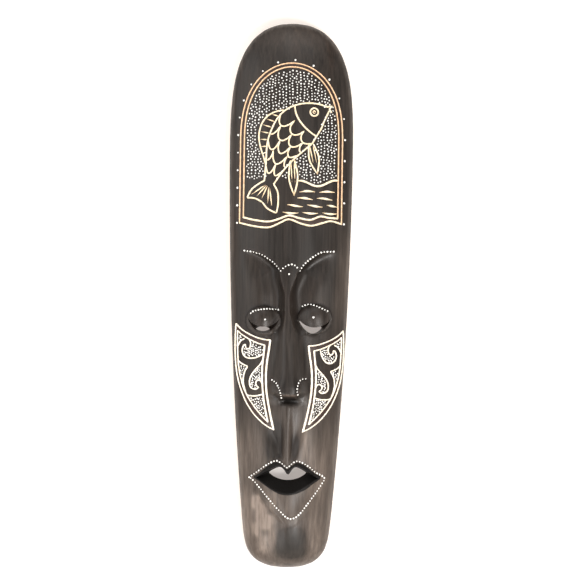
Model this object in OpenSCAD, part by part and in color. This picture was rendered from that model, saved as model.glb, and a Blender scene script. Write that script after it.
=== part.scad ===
// Long carved wooden wall mask: a hollowed wooden body with beads of white paint along
// its carved edges, and a ring hanger screwed inside the hollow at the back.
// The face looks along -Y, the flat back rim lies at y = 0 and +Z points up.
// The origin is the hang point, where a nail in the wall carries the ring.
// Heights in the settings are measured up from the chin.

/* [Mask body] */
// Height of the mask from chin to crown
mask_h = 500; // [490:1:540]
// Greatest width, across the forehead
mask_w = 114; // [106:1:122]
// Thickness of the side wall at the silhouette
wall_depth = 9; // [7:0.5:12]
// Rise of the rounded front above the side wall
crown_rise = 20; // [16:0.5:24]
// Height of the small round along the silhouette
edge_rise = 4; // [2:0.5:6]
// How far the nose tip stands above the face
nose_rise = 10; // [6:0.5:14]
// Depth of the brow scoops right under the brow edge
socket_depth = 8; // [4:0.5:9]
// Rise of the closed eyelids out of their sockets
lid_rise = 6; // [3:0.5:8]
// Rise of the lips round the mouth
lip_rise = 3.5; // [1:0.5:5]

/* [Openings] */
// Height of the mouth corners
mouth_h = 83; // [80:1:88]
// Width of the mouth opening
mouth_w = 58; // [52:1:62]
// Height of the eye corners
eye_h = 229; // [224:1:234]
// Distance from the centre line to the inner eye corner
eye_in = 9.2; // [8:0.2:11]
// Distance from the centre line to the outer eye corner
eye_out = 36.8; // [34:0.2:38]
// Greatest height of the slit under each eyelid
slit_h = 6; // [5:0.25:7]

/* [Hollow back] */
// Depth of the gouged hollow behind the face
hollow_depth = 19; // [12:0.5:20]
// Depth of the flat shelf that carries the hanger
shelf_depth = 8; // [7:0.5:10]
// Width of the flat rim that lies on the wall
rim_w = 11; // [9:0.5:14]

/* [Paint beads] */
// Diameter of one bead of white paint
bead_d = 1.8; // [1.4:0.1:2.4]
// Number of beads round the forehead panel
panel_beads = 21; // [15:1:31]
// Distance between beads along the brows, eyelids and nostrils
bead_pitch = 2.9; // [2.4:0.1:4]
// Distance between beads round the lips
lip_pitch = 2.8; // [2.4:0.1:4]

/* [Hanger] */
// Height of the hang point above the chin
hang_h = 462; // [450:1:466]
// Wire diameter of the hanging ring
wire_d = 2; // [1.6:0.1:2.2]
// Width of the ring between the middles of its sides
ring_w = 15; // [13:0.5:18]
// Diameter of the nail that carries the ring
nail_d = 3; // [2:0.5:3.5]
// Width of the steel strap
strap_w = 10; // [9:0.5:10]
// Thickness of the steel strap
strap_t = 0.8; // [0.6:0.1:1]
// Distance from the ring's pivot down to the screw
screw_drop = 20; // [18:0.5:24]
// Length of the screw under its head
screw_l = 11; // [8:0.5:12]

/* [Hidden] */
$fn = 48;

// silhouette
half_w = mask_w / 2;
chin_narrowing = 0.36;
shoulder_h = 420;
crown_h = mask_h - 144;
jaw_h = 64;
least_h = 0.15;

// brows, eyelids, nose and mouth
brow_in = 7.5;
brow_out = 41.5;
brow_low = 271.5;
brow_high = 291;
brow_step = 2.5;
lid_x = (eye_in + eye_out) / 2;
lid_h = eye_h - 2;
nose_top = 285;
nose_tip = 165;
nose_base = 157;
upper_lip = 13;
lip_dip = 6;
lower_lip = 14;
lip_half = 35;
lip_tip = 3.6;
philtrum_top = 152;
philtrum_low = 102;
rear_pinch = 0.36;

// ring and strap
bend_r = 2;
slack = 0.1;
eye_r = wire_d / 2 + slack;
ring_top = bend_r + 1 + ring_w / 2 - wire_d / 2;
pivot_z = -(ring_top - nail_d / 2);
pivot_y = -shelf_depth + eye_r + strap_t;
screw_z = pivot_z - screw_drop;
strap_end = 6;
screw_d = 3;
head_d = 6.6;
head_h = 2;

function clamp(v, low, high) = min(max(v, low), high);
function smooth(a, b, v) = let (t = clamp((v - a) / (b - a), 0, 1)) t * t * (3 - 2 * t);
function bump(v, width) = exp(-pow(v / width, 2));

// Half width of the silhouette at a height above the chin
function width_at(h) =
    let (hc = clamp(h, least_h, mask_h - least_h),
         low = clamp((shoulder_h - hc) / shoulder_h, 0, 1),
         top = clamp((hc - crown_h) / (mask_h - crown_h), 0, 1),
         jaw = clamp((jaw_h - hc) / jaw_h, 0, 1))
    half_w * (1 - chin_narrowing * pow(low, 2.15))
    * pow(1 - pow(top, 4), 1 / 2.3) * pow(1 - pow(jaw, 6), 1 / 2.3);

// Carved outlines, as heights over the distance from the centre line
function brow_edge(x) =
    let (a = abs(x))
    a < brow_in ? brow_low + 6 * (1 + cos(180 * a / brow_in)) / 2
    : brow_high - (brow_high - brow_low) * pow(1 - (min(a, brow_out) - brow_in)
      / (brow_out - brow_in), 2.3);
function mouth_arch(x) = max(0, 1 - pow(2 * x / mouth_w, 2));
function mouth_top(x) =
    mouth_h + 0.6 + upper_lip * pow(mouth_arch(x), 1.2) - lip_dip * bump(x, 4.5);
function mouth_low(x) = mouth_h - 0.6 - lower_lip * pow(mouth_arch(x), 1.55);
function slit_arch(x) = max(0, 1 - pow((abs(x) - lid_x) / (eye_out - lid_x), 2));
function slit_low(x) = eye_h - 0.4 - 14 * pow(slit_arch(x), 0.9);
function slit_top(x) = slit_low(x) + 0.8 + (slit_h - 0.8) * slit_arch(x);
// Outer edge of the lips: a bow above, a long point below, a little off centre
function lip_arch(x, tip = 0) =
    max(0, 1 - (x < tip ? (tip - x) / (lip_half + tip) : (x - tip) / (lip_half - tip)));
function lips_top(x) = mouth_h + 19.4 * pow(lip_arch(x), 0.75) - 8.8 * bump(x, 4.5) + 0.5;
function lips_low(x) = mouth_h - 36.2 * pow(lip_arch(x, lip_tip), 0.8) - 0.5;

// Relief of each carved feature, in millimetres above the plain front
// The carver's bridge of the nose wanders a little to one side between the eyes
function midline(h) = -2 * bump(h - 250, 28);
function bridge_half(h) = 3.6 + 4.4 * smooth(252, 274, h) + 3 * smooth(228, 214, h);
function sockets(x, h) =
    let (a = abs(x), side = abs(x - midline(h)), below = brow_edge(x) - h)
    -socket_depth * smooth(0, brow_step, below) * (1 - 0.5 * smooth(0, 60, below))
    * smooth(bridge_half(h) - 1.5, bridge_half(h) + 3, side) * (1 - smooth(32, 45, a))
    * smooth(slit_low(x) - 3, slit_low(x) + 3, h);
function lids(x, h) =
    let (dx = (abs(x) - lid_x) / 15.5, dh = (h - lid_h) / (h > lid_h ? 12 : 14))
    lid_rise * pow(max(0, 1 - dx * dx - dh * dh), 0.6);
function nose(x, h) =
    let (run = clamp((nose_top - h) / (nose_top - nose_tip), 0, 1),
         half = 5 + 8 * pow(run, 1.5))
    nose_rise * pow(run, 1.3) * exp(-pow(abs(x - midline(h)) / half, 2.4))
    * smooth(nose_base - 3, nose_base + 3, h)
    + 3 * exp(-pow((abs(x) - 10) / 5, 2) - pow((h - 167) / 8, 2));
function philtrum(x, h) =
    -4.5 * bump(abs(x) - 10, 6) * smooth(2, 5, abs(x))
    * smooth(philtrum_low - 6, philtrum_low + 6, h)
    * (1 - smooth(philtrum_top - 2, philtrum_top + 6, h));
function lips(x, h) =
    let (up = (h - mouth_top(x)) / (lips_top(x) - mouth_top(x)),
         down = (mouth_low(x) - h) / (mouth_low(x) - lips_low(x)),
         f = clamp(h > mouth_h ? up : down, 0, 1))
    abs(x) < lip_half ? lip_rise * (1 - f * f) * smooth(0, 0.3, lip_arch(x)) : 0;

// Distance of the front surface from the wall
function front(x, h) =
    let (t = min(1, abs(x) / width_at(h)),
         top = clamp((h - 380) / (mask_h - 380), 0, 1),
         chin = clamp((60 - h) / 60, 0, 1),
         rise = crown_rise * (1 - t * t) * pow(1 - pow(top, 2.4), 0.7)
                * pow(1 - pow(chin, 2.2), 0.6))
    wall_depth + rise + edge_rise * sqrt(max(0, 1 - pow(t, 14)))
    + sockets(x, h) + lids(x, h) + nose(x, h) + philtrum(x, h) + lips(x, h);

// Distance of the hollow's floor from the wall
hollow_top = mask_h - 12;
function hollow(x, h) =
    let (inner = max(1, width_at(h) - rim_w),
         across = clamp(abs(x) / inner, 0, 1),
         low = smooth(12, 60, h),
         shelf = smooth(mask_h - 130, mask_h - 95, h),
         end = 1 - pow(clamp((h - hollow_top + 12) / 12, 0, 1), 3),
         floor_depth = (hollow_depth * (1 - shelf) + shelf_depth * shelf) * low * end,
         bowl = pow(1 - pow(across, 2.6), 0.6))
    min(floor_depth, floor_depth * 1.08 * bowl);

// The body's grid: columns run from one side to the other, rows follow the carved
// outlines, so that the mouth, the slits and the brow edges fall on grid lines.
mouth_u = mouth_w / 2 / width_at(mouth_h);
eye_in_u = eye_in / width_at(eye_h);
eye_out_u = eye_out / width_at(eye_h);
col_stops = [0, eye_in_u, mouth_u, eye_out_u, 1];
col_cells = [2, 5, 1, 4];
right_u = [for (s = [0 : 3], i = [1 : col_cells[s]])
           col_stops[s] + (col_stops[s + 1] - col_stops[s]) * (s == 3
           ? sin(90 * i / col_cells[s]) : i / col_cells[s])];
side_cells = len(right_u);
cols = concat([for (i = [side_cells - 1 : -1 : 0]) -right_u[i]], [0], right_u);
last_col = len(cols) - 1;

row_cells = [10, 6, 4, 1, 24, 2, 15, 1, 18];
last_guide = len(row_cells);
function rows_before(k) = k == 0 ? 0 : rows_before(k - 1) + row_cells[k - 1];
first_mouth_row = rows_before(2);
first_slit_row = rows_before(5);
function guide(k, u, back) =
    let (xm = u * width_at(mouth_h), xe = u * width_at(eye_h), xb = u * width_at(brow_high),
         past_m = max(0, abs(u) - mouth_u) * 40, past_e = max(0, abs(u) - eye_out_u) * 30,
         past_n = max(0, eye_in_u - abs(u)) * 30)
    k == 0 ? 0
    : k == 1 ? min(lips_low(xm), guide(2, u, false) - 1.5 - past_m / 4)
    : k == 2 ? (back ? mouth_h - 2.4 * mouth_arch(xm) - 0.4 : mouth_low(xm)) - past_m
    : k == 3 ? (back ? mouth_h + 0.75 * (mouth_top(xm) - mouth_h) : mouth_top(xm)) + past_m
    : k == 4 ? max(lips_top(xm), guide(3, u, false) + 1.5 + past_m / 4)
    : k == 5 ? slit_low(xe) - past_e - past_n
    : k == 6 ? slit_top(xe) + past_e + past_n
    : k == 7 ? brow_edge(xb) - brow_step
    : k == 8 ? brow_edge(xb)
    : mask_h;
function graded(k, f) =
    k == 0 ? 1 - cos(90 * f) : k == last_guide - 1 ? pow(sin(90 * f), 0.9) : f;
rows = concat([for (k = [0 : last_guide - 1], i = [0 : row_cells[k] - 1]) [k, i / row_cells[k]]],
              [[last_guide - 1, 1]]);
last_row = len(rows) - 1;

function grid_point(i, j, back) =
    let (k = rows[j][0], f = graded(k, rows[j][1]), u = cols[i],
         h = guide(k, u, back) * (1 - f) + guide(k + 1, u, back) * f,
         pinch = back ? rear_pinch * bump(h - mouth_h, 26) * (1 - pow(abs(u), 3)) : 0,
         x = u * width_at(h) * (1 - pinch))
    [x, back ? -hollow(x, h) : -front(x, h), h - hang_h];

function in_mouth(i, j) =
    j >= first_mouth_row && j < first_mouth_row + row_cells[2]
    && abs(cols[i] + cols[i + 1]) / 2 < mouth_u;
function in_slit(i, j) =
    let (middle = abs(cols[i] + cols[i + 1]) / 2)
    j >= first_slit_row && j < first_slit_row + row_cells[5]
    && middle > eye_in_u && middle < eye_out_u;
function solid(i, j) =
    i >= 0 && i < last_col && j >= 0 && j < last_row && !in_mouth(i, j) && !in_slit(i, j);

function at(i, j) = j * (last_col + 1) + i;
grid_size = (last_col + 1) * (last_row + 1);
// Two triangles from four corners, cut along a diagonal that mirrors about the centre
function quad(a, b, c, d, flip) = flip ? [[a, b, c], [a, c, d]] : [[b, c, d], [b, d, a]];
function cell_faces(i, j) =
    let (a = at(i, j), b = at(i, j + 1), c = at(i + 1, j + 1), d = at(i + 1, j),
         n = grid_size, left = cols[i] + cols[i + 1] < 0)
    concat(quad(a, b, c, d, left), quad(d + n, c + n, b + n, a + n, !left),
           solid(i - 1, j) ? [] : quad(b, a, a + n, b + n, true),
           solid(i, j + 1) ? [] : quad(c, b, b + n, c + n, true),
           solid(i + 1, j) ? [] : quad(d, c, c + n, d + n, true),
           solid(i, j - 1) ? [] : quad(a, d, d + n, a + n, true));

module mask_body()
    color([0.27, 0.23, 0.21])
        polyhedron(
            points = [for (back = [false, true], j = [0 : last_row], i = [0 : last_col])
                      grid_point(i, j, back)],
            faces = [for (j = [0 : last_row - 1], i = [0 : last_col - 1]) if (solid(i, j))
                     each cell_faces(i, j)],
            convexity = 8);

// A row of beads, each half sunk in the surface. The points are [x, height] pairs.
module beads(points)
    color([0.96, 0.94, 0.9])
        for (p = points)
            translate([p[0], -front(p[0], p[1]) + 0.15 * bead_d, p[1] - hang_h])
                sphere(d = bead_d);

// Points a given pitch apart along a path of [x, height] points
function lengths(path, i = 1, sum = [0]) =
    i == len(path) ? sum
    : lengths(path, i + 1, concat(sum, [sum[i - 1] + norm(path[i] - path[i - 1])]));
function along(path, pitch = 1, gaps = 0, closed = false) =
    let (run = lengths(path), total = run[len(run) - 1],
         count = gaps > 0 ? gaps : max(1, round(total / pitch)))
    [for (k = [0 : closed ? count - 1 : count])
        let (s = total * k / count,
             i = clamp(len([for (v = run) if (v < s) v]), 1, len(path) - 1))
        path[i - 1] + (path[i] - path[i - 1]) * (s - run[i - 1]) / (run[i] - run[i - 1])];
function mirrored(points) = [for (p = points) [-p[0], p[1]]];

// The forehead panel is a tall arch with upright sides
panel_low = 316;
panel_top = 465.6;
panel_half = 49;
panel_spring = 390;
function panel_x(h) =
    let (t = clamp((h - panel_spring) / (panel_top - panel_spring), 0, 1))
    panel_half * sqrt(1 - pow(t, 2.5));
panel_side = [for (i = [0 : 40]) let (f = sin(90 * i / 40),
              h = panel_low + (panel_top - panel_low) * f) [panel_x(h), h]];
module panel_border_dots()
    beads(along(concat(panel_side, [for (i = [39 : -1 : 0])
                                    [-panel_side[i][0], panel_side[i][1]]]),
                gaps = panel_beads - 1));

module brow_dots() {
    edge = [for (x = [brow_in + 1 : 1 : brow_out]) [x, brow_edge(x) + 1.2]];
    beads(along(edge, bead_pitch));
    beads(mirrored(along(edge, bead_pitch)));
    beads(along([for (x = [-6 : 1 : 6]) [x, brow_edge(x) + 1.2]], bead_pitch));
    beads([[0, brow_edge(0) - 7]]);
}

module eyelid_dots() {
    lid = [for (a = [155 : -5 : 25]) [lid_x + 14 * cos(a), lid_h + 1 + 8.5 * sin(a)]];
    for (points = [along(lid, bead_pitch), [[lid_x, lid_h - 1]]]) {
        beads(points);
        beads(mirrored(points));
    }
}

module nostril_dots() {
    wing = [for (a = [95 : 5 : 180]) [16.5 + 8.5 * cos(a), 160 + 14 * sin(a)]];
    beads(along(wing, bead_pitch));
    beads(mirrored(along(wing, bead_pitch)));
}

module lip_dots() {
    top = [for (x = [-lip_half : 1 : lip_half]) [x, lips_top(x)]];
    low = [for (x = [lip_half : -1 : -lip_half]) [x, lips_low(x)]];
    beads(along(concat(top, low, [top[0]]), lip_pitch, closed = true));
}

// Steel strap: a flat tongue with a screw hole, rolled round the ring at its upper end
module hanger_strap()
    color([0.75, 0.72, 0.66])
        difference() {
            translate([-strap_w / 2, pivot_y, pivot_z])
                rotate([90, 0, 90])
                    linear_extrude(strap_w)
                        difference() {
                            union() {
                                circle(r = eye_r + strap_t);
                                translate([-eye_r - strap_t, -screw_drop - strap_end])
                                    square([strap_t, screw_drop + strap_end]);
                            }
                            circle(r = eye_r);
                        }
            translate([0, -shelf_depth - 1, screw_z])
                rotate([-90, 0, 0])
                    cylinder(d = screw_d + 0.4, h = strap_t + 2);
        }

// Hanging ring: a straight bar through the rolled eye, two bends, two sides and an arch
module hanging_ring()
    color([0.8, 0.78, 0.72])
        translate([0, pivot_y, pivot_z]) {
            side = ring_w / 2;
            translate([-side + bend_r, 0, 0])
                rotate([0, 90, 0])
                    cylinder(d = wire_d, h = ring_w - 2 * bend_r);
            for (turn = [0, 180])
                rotate([0, 0, turn]) {
                    translate([side - bend_r, 0, bend_r])
                        rotate([-90, 0, 0])
                            rotate_extrude(angle = 90)
                                translate([bend_r, 0])
                                    circle(d = wire_d);
                    translate([side, 0, bend_r])
                        cylinder(d = wire_d, h = 1);
                }
            translate([0, 0, bend_r + 1])
                rotate([90, 0, 0])
                    rotate_extrude(angle = 180)
                        translate([side, 0])
                            circle(d = wire_d);
        }

// Wood screw with a domed head and a cross recess
module hanger_screw()
    color([0.78, 0.74, 0.62])
        translate([0, -shelf_depth + strap_t, screw_z])
            rotate([-90, 0, 0])
                difference() {
                    rotate_extrude()
                        polygon([[0, -screw_l], [screw_d / 2, -screw_l + 4], [screw_d / 2, 0],
                                 [head_d / 2, 0], [head_d / 2, 0.7 * head_h],
                                 [head_d / 2 - 0.9, head_h], [0, head_h]]);
                    for (turn = [0, 90])
                        rotate([0, 0, turn])
                            translate([-1.9, -0.4, head_h - 1])
                                cube([3.8, 0.8, 2]);
                }

mask_body();
panel_border_dots();
brow_dots();
eyelid_dots();
nostril_dots();
lip_dots();
hanger_strap();
hanging_ring();
hanger_screw();
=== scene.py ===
# %% [markdown]
# # A long carved wooden mask
# The real mask is one block of light wood. The carver rounds the front, cuts the face,
# stains it nearly black, then cuts fine lines through the stain and dots them with paint.
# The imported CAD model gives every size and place, so this lesson starts by loading it.

import math

import bpy
import numpy as np
from mathutils import Matrix, Vector
from mathutils.geometry import delaunay_2d_cdt
from mathutils.kdtree import KDTree


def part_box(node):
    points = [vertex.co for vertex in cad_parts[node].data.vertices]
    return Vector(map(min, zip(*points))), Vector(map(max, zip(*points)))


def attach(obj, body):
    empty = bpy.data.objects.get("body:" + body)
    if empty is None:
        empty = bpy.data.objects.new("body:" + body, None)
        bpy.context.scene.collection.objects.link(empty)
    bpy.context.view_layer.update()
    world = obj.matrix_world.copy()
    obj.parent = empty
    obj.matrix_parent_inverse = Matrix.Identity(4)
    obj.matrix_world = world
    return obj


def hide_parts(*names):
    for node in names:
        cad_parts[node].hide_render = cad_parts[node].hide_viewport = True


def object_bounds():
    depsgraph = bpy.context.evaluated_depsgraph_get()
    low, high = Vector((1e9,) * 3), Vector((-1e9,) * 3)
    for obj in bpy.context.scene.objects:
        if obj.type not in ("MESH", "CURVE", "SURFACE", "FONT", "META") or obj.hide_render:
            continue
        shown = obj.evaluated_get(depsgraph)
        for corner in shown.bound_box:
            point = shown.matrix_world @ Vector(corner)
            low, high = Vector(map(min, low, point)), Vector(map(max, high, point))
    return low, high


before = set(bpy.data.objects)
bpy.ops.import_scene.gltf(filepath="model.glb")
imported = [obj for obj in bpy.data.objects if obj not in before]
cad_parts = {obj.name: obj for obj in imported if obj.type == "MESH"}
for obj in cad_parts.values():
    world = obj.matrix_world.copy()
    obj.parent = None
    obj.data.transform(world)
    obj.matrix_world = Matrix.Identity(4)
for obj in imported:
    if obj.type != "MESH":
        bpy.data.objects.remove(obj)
cad_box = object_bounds()
MM = 0.001
body_low, body_high = (np.array(corner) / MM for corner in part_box("mask_body"))
chin_z = body_low[2]
mask_h = body_high[2] - body_low[2]
half_w = (body_high[0] - body_low[0]) / 2
deepest = -body_low[1]
print(f"mask {mask_h:.0f} mm tall, {2 * half_w:.0f} mm wide, {deepest:.0f} mm deep")

# %% [markdown]
# ## The board
# Everything below is drawn flat first, as a carver draws on a board: x runs to the right of
# the centre line and h runs up from the chin, both in millimetres. A formula gives the
# silhouette, so the outline stays smooth at any fineness, and a second formula gives the
# depth of the surface at each point. That is easier to keep true to a carved face than
# sculpting by brush, because each feature is one named term.

# %% Silhouette
CHIN_NARROWING, SHOULDER_H, JAW_H, LEAST_H = 0.36, 420.0, 64.0, 0.15
CROWN_H = mask_h - 144


def smooth(start, end, value):
    t = np.clip((value - start) / (end - start), 0, 1)
    return t * t * (3 - 2 * t)


def bump(value, width):
    return np.exp(-((value / width) ** 2))


def width_at(h):
    """Half width of the silhouette at height h."""
    h = np.clip(h, LEAST_H, mask_h - LEAST_H)
    low = np.clip((SHOULDER_H - h) / SHOULDER_H, 0, 1)
    top = np.clip((h - CROWN_H) / (mask_h - CROWN_H), 0, 1)
    jaw = np.clip((JAW_H - h) / JAW_H, 0, 1)
    ends = (1 - top**4) ** (1 / 2.3) * (1 - jaw**6) ** (1 / 2.3)
    return half_w * (1 - CHIN_NARROWING * low**2.15) * ends


def resample(points, step, closed=False):
    """Points at equal steps along a polyline."""
    points = np.asarray(points, float)
    if closed:
        points = np.vstack([points, points[:1]])
    run = np.r_[0, np.cumsum(np.hypot(*np.diff(points, axis=0).T))]
    count = max(2, round(run[-1] / step))
    at = np.linspace(0, run[-1], count + 1)
    found = np.c_[np.interp(at, run, points[:, 0]), np.interp(at, run, points[:, 1])]
    return found[:-1] if closed else found


def curve(points, step=1.0, closed=False):
    """A smooth Catmull-Rom curve through given points, resampled evenly."""
    p = np.asarray(points, float)
    if closed:
        p = np.vstack([p[-1], p, p[0], p[1]])
    else:
        p = np.vstack([2 * p[0] - p[1], p, 2 * p[-1] - p[-2]])
    t = np.linspace(0, 1, 12, endpoint=False)[:, None]
    spans = []
    for a, b, c, d in zip(p[:-3], p[1:-2], p[2:-1], p[3:]):
        spans.append(0.5 * (2 * b + (c - a) * t + (2 * a - 5 * b + 4 * c - d) * t**2
                            + (3 * b - a - 3 * c + d) * t**3))
    if not closed:
        spans.append(p[-2][None])
    return resample(np.vstack(spans), step, closed)


def arc(centre, radius, start, end, step=1.0):
    """Part of an ellipse, from one angle to another in degrees."""
    a = np.radians(np.linspace(start, end, 60))
    return resample(np.c_[centre[0] + radius[0] * np.cos(a), centre[1] + radius[1] * np.sin(a)],
                    step)


RIM_STEP = 2.0
heights = mask_h * (1 - np.cos(np.linspace(0, np.pi, 1200))) / 2
right_side = np.c_[width_at(heights), heights]
silhouette = resample(np.vstack([right_side, right_side[::-1] * [-1, 1]]), RIM_STEP, closed=True)
fine_rim = resample(np.vstack([right_side, right_side[::-1] * [-1, 1]]), 0.7, closed=True)


def inset(loop, distance):
    """A closed anticlockwise loop moved inwards."""
    along = np.roll(loop, -1, 0) - np.roll(loop, 1, 0)
    along /= np.hypot(*along.T)[:, None]
    return loop + distance * np.c_[-along[:, 1], along[:, 0]]


def nearest(points, targets):
    """Distance from each point to the nearest target."""
    best = np.empty(len(points))
    for i in range(0, len(points), 4000):
        part = points[i:i + 4000, None] - targets[None]
        best[i:i + 4000] = np.sqrt((part**2).sum(2).min(1))
    return best


print(len(silhouette), "points round the silhouette")

# %% [markdown]
# ## The carved face as a height function
# The board is crowned, and each feature adds to it or takes from it: scoops under the brows,
# closed eyelids, a long nose with two wings, a ridge between the nose and the mouth, lips
# with a funnel mouth, and a jaw that falls back from the long lower lip. The carver's small
# unevenness is part of the look: the bridge of the nose wanders to one side, and one eyelid
# sits higher than the other.

# %% Face terms
WALL_DEPTH, CROWN_RISE, EDGE_RISE, EDGE_ROUND = 9.0, 20.0, 4.0, 4.5
BROW_IN, BROW_OUT, BROW_LOW, BROW_HIGH = 7.5, 41.5, 271.5, 291.0
MOUTH_H, MOUTH_HALF, LIP_HALF, LIP_TIP = 83.0, 29.0, 35.0, 3.6
LID_X, LID_H, LID_HALF = 23.2, (228.0, 230.0), 15.8
NOSE_TOP, NOSE_TIP, NOSE_BASE, NOSE_RISE = 285.0, 167.0, 159.3, 9.7


def brow_edge(x):
    a = np.abs(x)
    centre = BROW_LOW + 3 * (1 + np.cos(np.pi * np.minimum(a, BROW_IN) / BROW_IN))
    run = np.clip((a - BROW_IN) / (BROW_OUT - BROW_IN), 0, 1)
    return np.where(a < BROW_IN, centre, BROW_HIGH - (BROW_HIGH - BROW_LOW) * (1 - run) ** 2.3)


def midline(h):
    return -2.0 * bump(h - 250, 28)


def bridge_half(h):
    return 2.1 + 5.6 * smooth(248, 272, h) + 4.5 * smooth(236, 208, h)


def lip_arch(x, tip=0.0):
    return np.clip(1 - np.where(x < tip, (tip - x) / (LIP_HALF + tip), (x - tip) / (LIP_HALF - tip)),
                   0, 1)


def lips_top(x):
    return MOUTH_H + 0.5 + 19.4 * lip_arch(x) ** 0.75 - 8.8 * bump(x, 4.5)


def lips_low(x):
    tip = np.sqrt((x - LIP_TIP) ** 2 + 9) - 3
    return MOUTH_H - 0.5 - 37.6 * np.clip(1 - tip / (LIP_HALF - 1), 0, 1) ** 0.88


def mouth_arch(x):
    return np.clip(1 - (x / MOUTH_HALF) ** 2, 0, 1)


def mouth_top(x):
    return MOUTH_H + 13.2 * mouth_arch(x) ** 1.2 - 6.5 * bump(x - 0.8, 4)


def mouth_low(x):
    return MOUTH_H - 13.4 * mouth_arch(x) ** 1.5


def slit_low(x):
    arch = np.clip(1 - ((np.abs(x) - LID_X) / 14.6) ** 2, 0, 1)
    return 229.5 - 14.2 * arch**0.75


def sockets(x, h):
    """Scoops under the brows, deepest beside the bridge and fading out towards the temples."""
    below = np.maximum(0, (brow_edge(x) - h) * 0.85)
    beside = np.maximum(0, np.abs(x - midline(h)) - bridge_half(h))
    fall = np.minimum(1 - np.exp(-below / 2.2), 1 - np.exp(-beside / 3.6))
    depth = 9.5 * fall * (1 - 0.62 * smooth(3, 28, np.minimum(below, beside)))
    outer = 1 - smooth(16, 47, np.abs(x) + 0.10 * below)
    by_the_nose = 1 - smooth(6, 17, np.abs(x - midline(h)))
    end = 225 - 9 * bump(np.abs(x) - LID_X, 12) - 3 * by_the_nose
    return -depth * outer * smooth(end - 4 - 12 * by_the_nose, end + 6 + 9 * by_the_nose, h)


def lids(x, h):
    total = 0
    for side, lid_h in zip((-1, 1), LID_H):
        dx = (x * side - LID_X) / LID_HALF
        dh = (h - lid_h) / np.where(h > lid_h, 12.5, 15)
        total = total + 6.2 * np.clip(1 - dx**2 - dh**2, 0, 1) ** 0.55
    return total


def nose(x, h):
    run = np.clip((NOSE_TOP - h) / (NOSE_TOP - NOSE_TIP), 0, 1)
    half = 5 + 7.5 * run**1.5
    ridge = NOSE_RISE * run**1.3 * np.exp(-(np.abs(x - midline(h)) / half) ** 3)
    wings = 2.7 * np.exp(-((np.abs(x) - 11.5) / 4.8) ** 2 - ((h - 164.5) / 6.5) ** 2)
    wings = wings - 1.0 * np.exp(-(((np.abs(x) - 16.5) / 8.5) ** 2 + ((h - 160) / 14) ** 2 - 1) ** 2
                                 / 0.02) * smooth(158, 163, h) * (np.abs(x) < 16.5)
    base = NOSE_BASE + 3.5 * smooth(6, 14, np.abs(x))
    under = 3.6 * np.exp(-((x - 0.8) / 7.8) ** 4 - ((h - 153.6) / 2.7) ** 2)
    return ridge * smooth(base - 5, base + 1, h) + wings * smooth(base - 9, base + 2, h) - under


def philtrum(x, h):
    """Two scoops above the upper lip with a soft ridge between them."""
    away = np.abs(x + 0.5)
    reach = 11 + 9 * smooth(98, 132, h) - 3 * (x > 0)
    scoop = smooth(0.8, 6.0, away) * (1 - smooth(reach - 8, reach + 3, away))
    deep = 0.35 + 0.65 * smooth(146, 112, h)
    low = smooth(lips_top(x) - 0.5, lips_top(x) + 6, h)
    return -4.2 * scoop * deep * low * (1 - smooth(149, 156, h))


def lips(x, h):
    up = (h - mouth_top(x)) / np.maximum(lips_top(x) - mouth_top(x), 0.1)
    down = (mouth_low(x) - h) / np.maximum(mouth_low(x) - lips_low(x), 0.1)
    f = np.clip(np.where(h > MOUTH_H, up, down), 0, 1)
    ends = smooth(0, 0.35, lip_arch(x))
    return np.where(np.abs(x) < LIP_HALF, 3.2 * (1 - f**2) * ends, 0)


def jaw(x, h):
    """The step round the lower lip, and the flats of the jaw below it."""
    outside = (lips_low(x) - 5.5 - h) * 0.66
    step = smooth(0, 1.6, outside) * smooth(0.02, 0.3, lip_arch(x)) * (1 - smooth(8, 26, outside))
    return -2.0 * step * (0.12 + 0.88 * smooth(2, -11, x))


def board(x, h, rim):
    t = np.minimum(1, np.abs(x) / width_at(h))
    top = np.clip((h - 380) / (mask_h - 380), 0, 1)
    chin = np.clip((60 - h) / 60, 0, 1)
    rise = CROWN_RISE * (1 - t**2) * (1 - top**2.4) ** 0.7 * (1 - chin**2.2) ** 0.6
    corner = np.sqrt(np.clip(1 - (1 - np.clip(rim / EDGE_ROUND, 0, 1)) ** 2, 0, 1))
    return WALL_DEPTH + rise + EDGE_RISE * corner


def hand_work(x, h):
    """Long shallow facets that the knife leaves on a hand-smoothed surface."""
    return (0.16 * np.sin(x / 5.3 + 1.4 * np.sin(h / 61)) + 0.12 * np.sin(h / 23 + x / 9)
            + 0.07 * np.sin(x / 2.1 + h / 13))


def face_depth(points, rim):
    x, h = points.T
    relief = sockets(x, h) + lids(x, h) + nose(x, h) + philtrum(x, h) + lips(x, h) + jaw(x, h)
    return board(x, h, rim) + relief + hand_work(x, h) * smooth(0, 6, rim)


nose_tip = face_depth(np.array([[0.0, NOSE_TIP]]), np.array([half_w]))[0]
print(f"nose tip stands {nose_tip:.1f} mm off the wall side")


# %% [markdown]
# ## Openings
# The mouth and both eyes are cut right through, and each hole is a funnel: wide in front and
# smaller behind. Both ends of a funnel get the same number of points, so that rings of
# faces can join them later.

# %% Outlines of the openings
def lens(low, top, start, end, count=34):
    """An anticlockwise outline between two curves that meet at both ends."""
    x = (start + end) / 2 - (end - start) / 2 * np.cos(np.linspace(0, np.pi, count))
    lower = np.c_[x, low(x)]
    upper = np.c_[x, top(x)][::-1]
    return np.vstack([lower, upper[1:-1]])


def rear_mouth(x):
    return np.clip(1 - ((x - 0.5) / 17) ** 2, 0, 1)


def slit_top(x):
    arch = np.clip(1 - ((np.abs(x) - LID_X) / 14.6) ** 2, 0, 1)
    return slit_low(x) + 5.9 * arch**0.8


def rear_slit(x, centre, half):
    return np.clip(1 - ((x - centre) / half) ** 2, 0, 1)


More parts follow.
